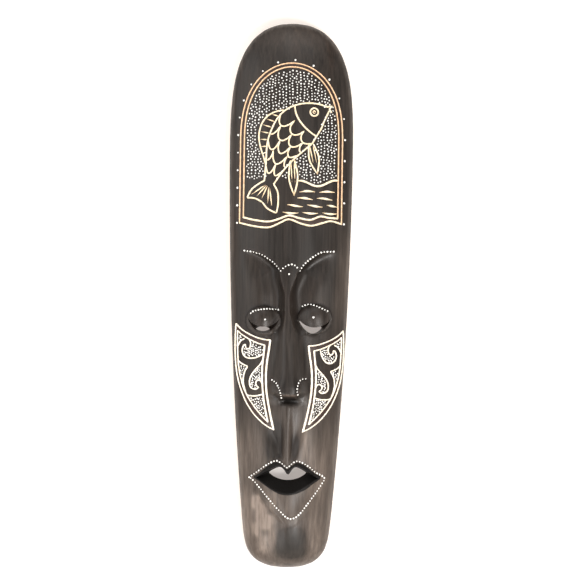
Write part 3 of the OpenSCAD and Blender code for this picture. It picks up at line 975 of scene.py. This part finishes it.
# %% Wood, stain and paint
def wood(name, dark, light, wear_and_sheen, gloss, wear_from):
    """Stained or raw wood: grain, painted shade in hollows, rubbed edges with painted sheen, places made
    lighter and darker by stain and by painted highlights and shade, and a waxed surface.
    """
    material, nodes, links, shader = new_material(name)
    grain = stretched_noise(nodes, links, (420, 420, 16), 6.0, 0.62)
    patches = stretched_noise(nodes, links, (38, 38, 7), 3.0)
    streaks = stretched_noise(nodes, links, (330, 300, 30), 8.0, 0.68)
    colour = ramp(nodes, links, grain, [(0.30, dark), (0.72, light)])
    shade = ramp(nodes, links, patches, [(0.30, (0.76, 0.74, 0.73)), (0.50, (1.0, 1.0, 1.0)),
                                         (0.70, (1.08, 0.92, 0.82))])
    colour = mixed(nodes, links, 1.0, colour, shade, "MULTIPLY")
    # Painted shade: hollows are darkened.
    hollow = between(nodes, links, attribute(nodes, "proud"), -0.9, 0.1, 0.55, 0.0)
    colour = mixed(nodes, links, hollow, colour, tuple(0.45 * c for c in dark))
    rubbed = between(nodes, links, attribute(nodes, "proud"), wear_from, wear_from + 0.7)
    edge = between(nodes, links, attribute(nodes, "near_edge"), 0.15, 1.0)
    streaky = between(nodes, links, streaks, 0.44, 0.68)
    colour = mixed(nodes, links, times(nodes, links, rubbed, streaky), colour, wear_and_sheen)
    # The outer edge takes the same colour: stain rubbed off there, and a painted sheen.
    colour = mixed(nodes, links, times(nodes, links, edge, streaky), colour, wear_and_sheen)
    # Darker where the attribute is negative: thick stain, and painted shade such as under the nose.
    thick_stain_and_painted_shade = between(nodes, links, attribute(nodes, "thin_stain"), -1.0, 0.0, 0.0, 1.0)
    colour = mixed(nodes, links, thick_stain_and_painted_shade, tuple(0.35 * c for c in dark), colour)
    # Lighter where the attribute is positive: thin stain, and painted highlights such as the glossy streaks
    # on the chin.
    thin = times(nodes, links, attribute(nodes, "thin_stain"),
                 between(nodes, links, streaks, 0.30, 0.68, 0.35, 1.4))
    colour = mixed(nodes, links, thin, colour, (0.215, 0.170, 0.140))
    links.new(colour, shader.inputs["Base Color"])
    links.new(between(nodes, links, grain, 0.3, 0.7, gloss, gloss + 0.16), shader.inputs["Roughness"])
    shader.inputs["Specular IOR Level"].default_value = 0.3
    add_bump(nodes, links, shader, grain, 0.22, GRAIN_DEPTH)
    return material


def paint(name, colour, patchy, roughness, relief=0.12, shine=0.5):
    """Brushed paint, a little uneven in tone and thickness."""
    material, nodes, links, shader = new_material(name)
    uneven = stretched_noise(nodes, links, (900, 900, 620), 3.0)
    links.new(ramp(nodes, links, uneven, [(0.32, patchy), (0.6, colour)]),
              shader.inputs["Base Color"])
    shader.inputs["Roughness"].default_value = roughness
    shader.inputs["Specular IOR Level"].default_value = shine
    add_bump(nodes, links, shader, uneven, relief, 0.0004)
    return material


def metal(name, colour, dull, roughness):
    material, nodes, links, shader = new_material(name)
    stain = stretched_noise(nodes, links, (350, 350, 350), 4.0)
    links.new(ramp(nodes, links, stain, [(0.35, dull), (0.6, colour)]), shader.inputs["Base Color"])
    links.new(between(nodes, links, stain, 0.3, 0.7, roughness + 0.15, roughness),
              shader.inputs["Roughness"])
    shader.inputs["Metallic"].default_value = 1.0
    return material


materials = {
    "stained_wood": wood("stained_wood", (0.014, 0.011, 0.009), (0.036, 0.028, 0.023),
                         (0.082, 0.064, 0.052), 0.32, 0.55),
    "bare_cut": paint("bare_cut", (0.86, 0.64, 0.43), (0.66, 0.43, 0.25), 0.6),
    "pale_cut": paint("pale_cut", (0.93, 0.82, 0.62), (0.84, 0.66, 0.44), 0.55),
    "white_cut": paint("white_cut", (0.92, 0.87, 0.77), (0.80, 0.70, 0.56), 0.5),
    "strip_stain": paint("strip_stain", (0.034, 0.014, 0.007), (0.018, 0.008, 0.005), 0.42),
    "mouth_black": paint("mouth_black", (0.010, 0.009, 0.0085), (0.007, 0.006, 0.005), 0.5, 0.2, 0.12),
    "raw_wood": wood("raw_wood", (0.26, 0.155, 0.085), (0.46, 0.30, 0.17),
                     (0.50, 0.35, 0.21), 0.62, 0.4),
    "white_paint": paint("white_paint", (0.92, 0.91, 0.88), (0.84, 0.82, 0.77), 0.38),
    "plated_steel": metal("plated_steel", (0.62, 0.59, 0.52), (0.36, 0.32, 0.25), 0.32),
    "plated_wire": metal("plated_wire", (0.66, 0.64, 0.60), (0.40, 0.38, 0.34), 0.26),
    "screw_metal": metal("screw_metal", (0.60, 0.52, 0.34), (0.34, 0.27, 0.16), 0.34),
}
print(len(materials), "materials")

# %% [markdown]
# ## The mesh object
# Faces take their finish from where they lie: inside a cut, inside a painted shape, in front
# or behind.

# %% Carved block
front_proud = np.zeros(len(front_flat))
for angle in np.radians(np.arange(0, 360, 45)):
    around = front_flat + 2.2 * np.array([math.cos(angle), math.sin(angle)])
    front_proud += (lifted - face_depth(around, rim)) / 8
proud = np.zeros(len(all_verts))
proud[:first_back] = np.clip(front_proud / 0.8, -1, 1)
near_edge = np.zeros(len(all_verts))
near_edge[:first_back] = 1 - smooth(0, 7, rim)
near_edge[first_back + len(back_flat):] = 0.75

# Places made lighter (+) and darker (-): partly thin and thick stain, partly painted highlights (glossy chin
# streaks, the top, the right temple) and painted shade (under the nose, beside the ridge above the lip).
# Columns: x, h, reach across, reach along, strength
STAIN_AND_PAINTED_LIGHT_SPOTS = [(-28, 61, 3.5, 6, 1.1), (-23, 51, 4.5, 8, 1.5), (-19, 42, 5.5, 6, 1.2), (-27, 36, 4, 6, 0.9),
           (-14, 45, 4, 5, 0.5), (-20, 23, 6, 9, 0.5), (-12, 30, 4, 8, 0.4), (-38, 44, 6, 26, 0.35),
           (28, 84, 8, 26, 0.25), (16, 113, 5, 15, 0.5), (-35, 108, 12, 18, 0.15), (26, 30, 7, 20, 0.25),
           (5, 24, 13, 13, -0.85), (-12, 116, 8, 17, -0.5), (8, 112, 5, 12, -0.35), (0, 168, 14, 12, -0.2),
           (0.8, 153.6, 8, 3, -1.1), (1, 159, 7, 1.3, 0.4), (-13, 62, 4, 9, 0.3), (0, 491, 42, 15, 0.12),
           (50, 264, 9, 44, 0.2), (0, 287, 36, 34, -0.5)]
x, h = front_flat.T
# Painted light: the lower face, from the nose down, is made lighter towards the chin.
thin = 0.26 * smooth(185, 95, h)
for cx, ch, across, along, strength in STAIN_AND_PAINTED_LIGHT_SPOTS:
    thin = thin + strength * np.exp(-np.abs((x - cx) / across) ** 3 - np.abs((h - ch) / along) ** 3)
thin_stain = np.zeros(len(all_verts))
thin_stain[:first_back] = np.clip(thin, -1, 1)
thin_stain[first_back + len(back_flat):] = 0.12

mesh = bpy.data.meshes.new("carved_body")
mesh.from_pydata((all_verts * MM + [0, 0, chin_z * MM]).tolist(), [], faces)
for name in FINISHES:
    mesh.materials.append(materials[name])
mesh.polygons.foreach_set("material_index", kinds.astype(np.int32))
for name, values in (("proud", proud), ("near_edge", near_edge),
                     ("thin_stain", thin_stain)):
    mesh.attributes.new(name, "FLOAT", "POINT").data.foreach_set("value", values.astype(np.float32))
mesh.validate()
mesh.set_sharp_from_angle(angle=math.radians(38))
carved_body = bpy.data.objects.new("carved_body", mesh)
bpy.context.collection.objects.link(carved_body)
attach(carved_body, "mask")
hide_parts("mask_body")
print("carved body", len(mesh.vertices), "points")

# %% [markdown]
# ## Beads of paint
# The carver dips a stick in white paint and sets single beads along the brows, eyelids,
# nostrils and lips, and round the forehead panel. A path carries each row. Geometry Nodes
# space the beads along it, drop them on the carved surface, turn them to face outwards and
# make each one slightly different, as a hand would.

# %% Node tree for beads on a path
def socket_id(group, name):
    return next(i.identifier for i in group.interface.items_tree
                if i.name == name and i.in_out == "INPUT")


def new_tree(name, inputs):
    group = bpy.data.node_groups.new(name, "GeometryNodeTree")
    group.interface.new_socket("Geometry", in_out="INPUT", socket_type="NodeSocketGeometry")
    for title, kind in inputs:
        group.interface.new_socket(title, in_out="INPUT", socket_type="NodeSocket" + kind)
    group.interface.new_socket("Geometry", in_out="OUTPUT", socket_type="NodeSocketGeometry")
    return group, group.nodes.new("NodeGroupInput"), group.nodes.new("NodeGroupOutput")


def node(group, kind, **settings):
    made = group.nodes.new(kind)
    for key, value in settings.items():
        setattr(made, key, value)
    return made


def join(group, *pairs):
    for a, b in pairs:
        group.links.new(a, b)


def drops(group, enter, carrier, rotation, segments, rings):
    """Instances a flattened drop of paint on the points of carrier, then makes it real."""
    drop = node(group, "GeometryNodeMeshUVSphere")
    drop.inputs["Segments"].default_value = segments
    drop.inputs["Rings"].default_value = rings
    drop.inputs["Radius"].default_value = 0.5
    flatten = node(group, "GeometryNodeTransform")
    flatten.inputs["Scale"].default_value = (1, 1, 0.72)
    size = node(group, "FunctionNodeRandomValue", data_type="FLOAT")
    smallest = node(group, "ShaderNodeMath", operation="MULTIPLY")
    smallest.inputs[1].default_value = 0.74
    largest = node(group, "ShaderNodeMath", operation="MULTIPLY")
    largest.inputs[1].default_value = 1.16
    place = node(group, "GeometryNodeInstanceOnPoints")
    real = node(group, "GeometryNodeRealizeInstances")
    soft = node(group, "GeometryNodeSetShadeSmooth")
    coat = node(group, "GeometryNodeSetMaterial")
    low, high = [s for s in size.inputs if s.name in ("Min", "Max") and s.enabled]
    join(group, (drop.outputs["Mesh"], flatten.inputs["Geometry"]),
         (enter.outputs["Drop size"], smallest.inputs[0]),
         (enter.outputs["Drop size"], largest.inputs[0]),
         (smallest.outputs["Value"], low), (largest.outputs["Value"], high),
         (enter.outputs["Seed"], size.inputs["Seed"]),
         (carrier, place.inputs["Points"]), (flatten.outputs["Geometry"], place.inputs["Instance"]),
         (rotation, place.inputs["Rotation"]),
         (next(s for s in size.outputs if s.enabled), place.inputs["Scale"]),
         (place.outputs["Instances"], real.inputs["Geometry"]),
         (real.outputs["Geometry"], soft.inputs["Geometry"]),
         (soft.outputs["Geometry"], coat.inputs["Geometry"]),
         (enter.outputs["Material"], coat.inputs["Material"]))
    return coat.outputs["Geometry"]


bead_tree, enter, leave = new_tree("beads_on_path", [
    ("Surface", "Object"), ("Drop size", "Float"), ("Seed", "Int"), ("Material", "Material")])
spaced = node(bead_tree, "GeometryNodeMeshToPoints")
surface = node(bead_tree, "GeometryNodeObjectInfo")
ray = node(bead_tree, "GeometryNodeRaycast")
ray.inputs["Ray Direction"].default_value = (0, 1, 0)
ray.inputs["Ray Length"].default_value = 0.2
settle = node(bead_tree, "GeometryNodeSetPosition")
turn = node(bead_tree, "FunctionNodeAlignRotationToVector", axis="Z")
normal_kept = node(bead_tree, "GeometryNodeCaptureAttribute")
normal_kept.capture_items.new("VECTOR", "Normal")
join(bead_tree, (enter.outputs["Geometry"], spaced.inputs["Mesh"]),
     (enter.outputs["Surface"], surface.inputs["Object"]),
     (surface.outputs["Geometry"], ray.inputs["Target Geometry"]),
     (spaced.outputs["Points"], normal_kept.inputs["Geometry"]),
     (ray.outputs["Hit Normal"], normal_kept.inputs["Normal"]),
     (normal_kept.outputs["Geometry"], settle.inputs["Geometry"]),
     (ray.outputs["Hit Position"], settle.inputs["Position"]),
     (normal_kept.outputs["Normal"], turn.inputs["Vector"]))
made = drops(bead_tree, enter, settle.outputs["Geometry"], turn.outputs["Rotation"], 12, 6)
bead_tree.links.new(made, leave.inputs["Geometry"])
print(len(bead_tree.nodes), "nodes")

# %% Rows of beads
PANEL_PITCH, BEAD_PITCH, LIP_PITCH, BEAD_SIZE = (19.3, 16.1), 2.9, 2.75, 1.75


def grown(name, group, source, settings):
    """Runs a node tree on a helper mesh and returns its result as a plain piece."""
    helper = bpy.data.objects.new(name + "_helper", source)
    bpy.context.collection.objects.link(helper)
    modifier = helper.modifiers.new("grow", "NODES")
    modifier.node_group = group
    for title, value in settings.items():
        modifier[socket_id(group, title)] = value
    bpy.context.view_layer.update()
    evaluated = helper.evaluated_get(bpy.context.evaluated_depsgraph_get())
    result = bpy.data.meshes.new_from_object(evaluated)
    helper.modifiers.remove(modifier)
    bpy.data.objects.remove(helper)
    result.name = name
    piece = bpy.data.objects.new(name, result)
    bpy.context.collection.objects.link(piece)
    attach(piece, "mask")
    return piece


def path_mesh(lines):
    """Helper mesh of open polylines, standing well in front of the face."""
    flat, links_between = [], []
    for line in lines:
        start = len(flat)
        flat += [(x * MM, -0.08, (chin_z + h) * MM) for x, h in line]
        links_between += [(i, i + 1) for i in range(start, len(flat) - 1)]
    helper = bpy.data.meshes.new("bead_path")
    helper.from_pydata(flat, links_between, [])
    return helper


def row_of(lines, pitch):
    """Points along polylines, each at the whole number of steps closest to the pitch."""
    pitches = pitch if isinstance(pitch, tuple) else (pitch,) * len(lines)
    return [resample(line, step) for line, step in zip(lines, pitches)]


def walk(points):
    return curve(points, 0.5)


panel_row = resample(arch_line(49, 465.4, 316), 0.5)
right_row, left_row = panel_row[:310], panel_row[-355:]
brow_rows = [walk([(-41.8, 290.6), (-35, 289.7), (-26.5, 287.5), (-21.3, 284.5), (-15, 280), (-8.3, 272.4)]),
             walk([(-6.2, 274.8), (-2, 277.6), (3, 278.4), (6.8, 275.6)]),
             walk([(9.4, 272.8), (12, 277.3), (17, 282.3), (23, 286.8), (29.5, 290), (40, 290.8)])]
lid_rows = [walk([(-35, 233.5), (-33.2, 235.2), (-29, 236.4), (-22, 237.6), (-17, 237.6), (-10, 237)]),
            walk([(12, 240.4), (17.5, 242.2), (23.5, 241.2), (30.5, 238.4), (35, 236.4)])]
nostril_rows = [walk([(-14.8, 173), (-11, 170.2), (-8.7, 166.3), (-7.2, 162), (-6, 156.8)]),
                walk([(15.8, 174.3), (12.6, 174), (9.9, 171.9), (8.6, 168), (8.1, 163.8), (8.8, 160)])]
lip_row = walk([(-34.5, 83.2), (-26.9, 89), (-18.6, 95.2), (-12.5, 98.6), (-9, 99.2), (-5, 97),
                (0, 93.2), (4, 96.4), (8.2, 99), (13, 98), (20, 93.8), (26, 89), (34.2, 83.6),
                (31.6, 77.6), (27.6, 71.6), (22.8, 65), (18, 58.4), (13.2, 52.2), (8.4, 47.8),
                (3.6, 46.4), (-0.6, 48.2), (-5, 52.4), (-9.8, 57), (-14.8, 62.6),
                (-20, 68.4), (-24.8, 74.2), (-29.5, 79.4), (-33.2, 82.5)])
beads = {
    "panel_border_dots": ([right_row, left_row], PANEL_PITCH, 1.9),
    "brow_dots": (brow_rows + [[(-0.6, 269.6), (-0.5, 269.6)]], BEAD_PITCH, BEAD_SIZE),
    "eyelid_dots": (lid_rows + [[(-22, 228), (-21.7, 228)], [(22, 230.5), (22.3, 230.5)]],
                    BEAD_PITCH - 0.25, BEAD_SIZE),
    "nostril_dots": (nostril_rows, BEAD_PITCH - 0.35, BEAD_SIZE - 0.15),
    "lip_dots": ([lip_row], LIP_PITCH, BEAD_SIZE),
}
for number, (name, (lines, pitch, size)) in enumerate(beads.items()):
    piece = grown(name + "_paint", bead_tree, path_mesh(row_of(lines, pitch)), {
        "Surface": carved_body, "Drop size": size * MM, "Seed": number + 3,
        "Material": materials["white_paint"]})
    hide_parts(name)
    print(name, len(piece.data.polygons) // 72, "beads")

# %% [markdown]
# ## Stippled fields
# Hundreds of fine dots fill the sky round the fish and the curls on the cheeks. Geometry
# Nodes scatter them over the carved skin with a least distance between neighbours, and drop
# the ones that would touch a cut. On the cheeks they stand so close that they nearly merge.

# %% Node tree for stippling
stipple_tree, enter, leave = new_tree("stipple", [
    ("Spacing", "Float"), ("Clearance", "Float"), ("Drop size", "Float"), ("Seed", "Int"),
    ("Material", "Material")])
scatter = node(stipple_tree, "GeometryNodeDistributePointsOnFaces", distribute_method="POISSON")
scatter.inputs["Density Max"].default_value = 4e6
room = node(stipple_tree, "GeometryNodeInputNamedAttribute", data_type="FLOAT")
room.inputs["Name"].default_value = "dot_room"
tight = node(stipple_tree, "FunctionNodeCompare", data_type="FLOAT", operation="LESS_THAN")
thin_out = node(stipple_tree, "GeometryNodeDeleteGeometry", domain="POINT")
join(stipple_tree, (enter.outputs["Geometry"], scatter.inputs["Mesh"]),
     (enter.outputs["Spacing"], scatter.inputs["Distance Min"]),
     (enter.outputs["Seed"], scatter.inputs["Seed"]),
     (room.outputs["Attribute"], tight.inputs["A"]), (enter.outputs["Clearance"], tight.inputs["B"]),
     (scatter.outputs["Points"], thin_out.inputs["Geometry"]),
     (tight.outputs["Result"], thin_out.inputs["Selection"]))
made = drops(stipple_tree, enter, thin_out.outputs["Geometry"], scatter.outputs["Rotation"], 8, 4)
stipple_tree.links.new(made, leave.inputs["Geometry"])
print(len(stipple_tree.nodes), "nodes")

# %% Scatter the dots
DOT_GAP = 1.2

def skin_patch(fields, kept_out, reach=1.5):
    """The part of the front skin near some fields, with the room a dot has at each point."""
    room = np.full(len(front_flat), -9.0)
    for field in fields:
        outline = resample(field, 0.4, closed=True)
        away = nearest(front_flat, outline)
        room = np.maximum(room, np.where(inside(front_flat, field), away, -away))
    for shape in kept_out:
        away = nearest(front_flat, resample(shape, 0.4, closed=True)) - DOT_GAP
        room = np.minimum(room, np.where(inside(front_flat, shape), -away, away))
    faces_here = front_faces[(room[front_faces] > -reach).any(1)]
    used, renumbered = np.unique(faces_here, return_inverse=True)
    patch = bpy.data.meshes.new("skin_patch")
    patch.from_pydata((front_verts[used] * MM + [0, 0, chin_z * MM]).tolist(), [],
                      renumbered.reshape(-1, 3).tolist())
    data = patch.attributes.new("dot_room", "FLOAT", "POINT").data
    data.foreach_set("value", room[used].astype(np.float32))
    return patch


for name, fields, kept_out, spacing, clearance, size, seed in [
        ("forehead_stipple", forehead_fields, fish_parts, 2.35, 0.15, 1.5, 11),
        ("cheek_stipple", stipple_fields, [], 1.6, 1.0, 1.5, 23)]:
    piece = grown(name, stipple_tree, skin_patch(fields, kept_out), {
        "Spacing": spacing * MM, "Clearance": clearance, "Drop size": size * MM, "Seed": seed,
        "Material": materials["white_paint"]})
    print(name, len(piece.data.polygons) // 32, "dots")

# %% [markdown]
# ## Hanger
# The strap, ring and screw keep their CAD shape, because it is already exact. They only get
# their metals.

# %% Hanger metals
for name, metal_name in (("hanger_strap", "plated_steel"), ("hanging_ring", "plated_wire"),
                         ("hanger_screw", "screw_metal")):
    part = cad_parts[name].data
    part.materials.clear()
    part.materials.append(materials[metal_name])
print("hanger done")

# %% [markdown]
# ## Wall, light and camera
# The mask hangs on a white wall. The main light is a soft box in front, low and to the
# right, so that the head throws its thin shadow up and to the left. The wall gives off a
# little warm painted light of its own, which softens that shadow. It gives off less, and
# whiter, on a patch right behind the face, where the openings show it: painted shade for the
# wall behind the mask. The wall shows only its front, so that the back of the mask can be
# looked at too.

# %% Wall and floor
wall_y = cad_box[1][1] + 0.006
GLOW, DIM_GLOW = 0.55, 0.32


def plane(name, corners, material):
    mesh = bpy.data.meshes.new(name)
    mesh.from_pydata(corners, [], [(0, 1, 2, 3)])
    mesh.materials.append(material)
    made = bpy.data.objects.new(name, mesh)
    bpy.context.collection.objects.link(made)
    return made


wall_paint, nodes, links, shader = new_material("wall_paint")
shader.inputs["Base Color"].default_value = (0.62, 0.61, 0.60, 1)
shader.inputs["Roughness"].default_value = 0.9
place = nodes.new("ShaderNodeTexCoord")
split = nodes.new("ShaderNodeSeparateXYZ")
away = nodes.new("ShaderNodeMath")
away.operation = "ABSOLUTE"
glow = nodes.new("ShaderNodeMath")
glow.operation = "MAXIMUM"
links.new(place.outputs["Object"], split.inputs["Vector"])
links.new(split.outputs["X"], away.inputs[0])
# Painted shade: the glow drops on a patch right behind the face.
beside = between(nodes, links, away.outputs["Value"], 0.032, 0.044, DIM_GLOW, GLOW)
above = between(nodes, links, split.outputs["Z"], -0.16, -0.12, DIM_GLOW, GLOW)
links.new(beside, glow.inputs[0])
links.new(above, glow.inputs[1])
warmth = between(nodes, links, glow.outputs["Value"], DIM_GLOW + 0.02, GLOW - 0.01)
tint = mixed(nodes, links, warmth, (1.0, 0.99, 0.98), (1.0, 0.88, 0.77))
links.new(tint, shader.inputs["Emission Color"])
links.new(glow.outputs["Value"], shader.inputs["Emission Strength"])
clear = nodes.new("ShaderNodeBsdfTransparent")
side = nodes.new("ShaderNodeNewGeometry")
choose = nodes.new("ShaderNodeMixShader")
links.new(side.outputs["Backfacing"], choose.inputs["Fac"])
links.new(shader.outputs["BSDF"], choose.inputs[1])
links.new(clear.outputs["BSDF"], choose.inputs[2])
links.new(choose.outputs["Shader"], nodes["Material Output"].inputs["Surface"])
floor_z = chin_z * MM - 0.75
plane("wall", [(-3, wall_y, floor_z), (3, wall_y, floor_z), (3, wall_y, 2.4), (-3, wall_y, 2.4)],
      wall_paint)
plane("floor", [(-3, -3, floor_z), (3, -3, floor_z), (3, wall_y, floor_z), (-3, wall_y, floor_z)],
      wall_paint)
print(f"wall {wall_y * 1000:.0f} mm behind the rim, floor {-floor_z:.2f} m below the hang point")

# %% Lights
middle = Vector((0, -0.02, (chin_z + mask_h / 2) * MM))


def soft_box(name, place, size, watts, colour=(1, 1, 1), aim=middle):
    light = bpy.data.lights.new(name, "AREA")
    light.shape = "RECTANGLE"
    light.size, light.size_y = size
    light.energy = watts
    light.color = colour
    made = bpy.data.objects.new(name, light)
    made.location = place
    made.rotation_euler = (aim - Vector(place)).to_track_quat("-Z", "Y").to_euler()
    bpy.context.collection.objects.link(made)


soft_box("key", (0.62, -1.5, -0.75), (0.55, 0.55), 24, (1.0, 0.975, 0.95))
soft_box("fill_left", (-1.3, -1.1, 0.2), (0.9, 1.3), 10)
soft_box("fill_top", (0.1, -1.4, 1.1), (1.4, 0.8), 9)
soft_box("low_strip", (-0.55, -0.8, -0.85), (0.25, 0.5), 4)
soft_box("behind", (0.3, 1.2, 0.2), (1.2, 1.2), 12)
world = bpy.data.worlds.new("studio")
world.use_nodes = True
world.node_tree.nodes["Background"].inputs["Color"].default_value = (1, 1, 1, 1)
world.node_tree.nodes["Background"].inputs["Strength"].default_value = 0.35
bpy.context.scene.world = world
bpy.context.scene.view_settings.view_transform = "Standard"

# %% Camera
DISTANCE, LEAN = 2.4, 0.8
camera = bpy.data.cameras.new("camera")
camera.lens = 163.7
camera.clip_start = 0.01
eye = bpy.data.objects.new("camera", camera)
eye.location = (-0.0014, -DISTANCE - 0.02, middle.z + 0.0069)
eye.rotation_euler = (math.radians(90), 0, 0)
eye.rotation_euler = (eye.rotation_euler.to_matrix()
                      @ Matrix.Rotation(math.radians(LEAN), 3, "Z")).to_euler()
bpy.context.collection.objects.link(eye)
bpy.context.scene.camera = eye
print(f"camera {DISTANCE} m away, {camera.lens} mm lens")
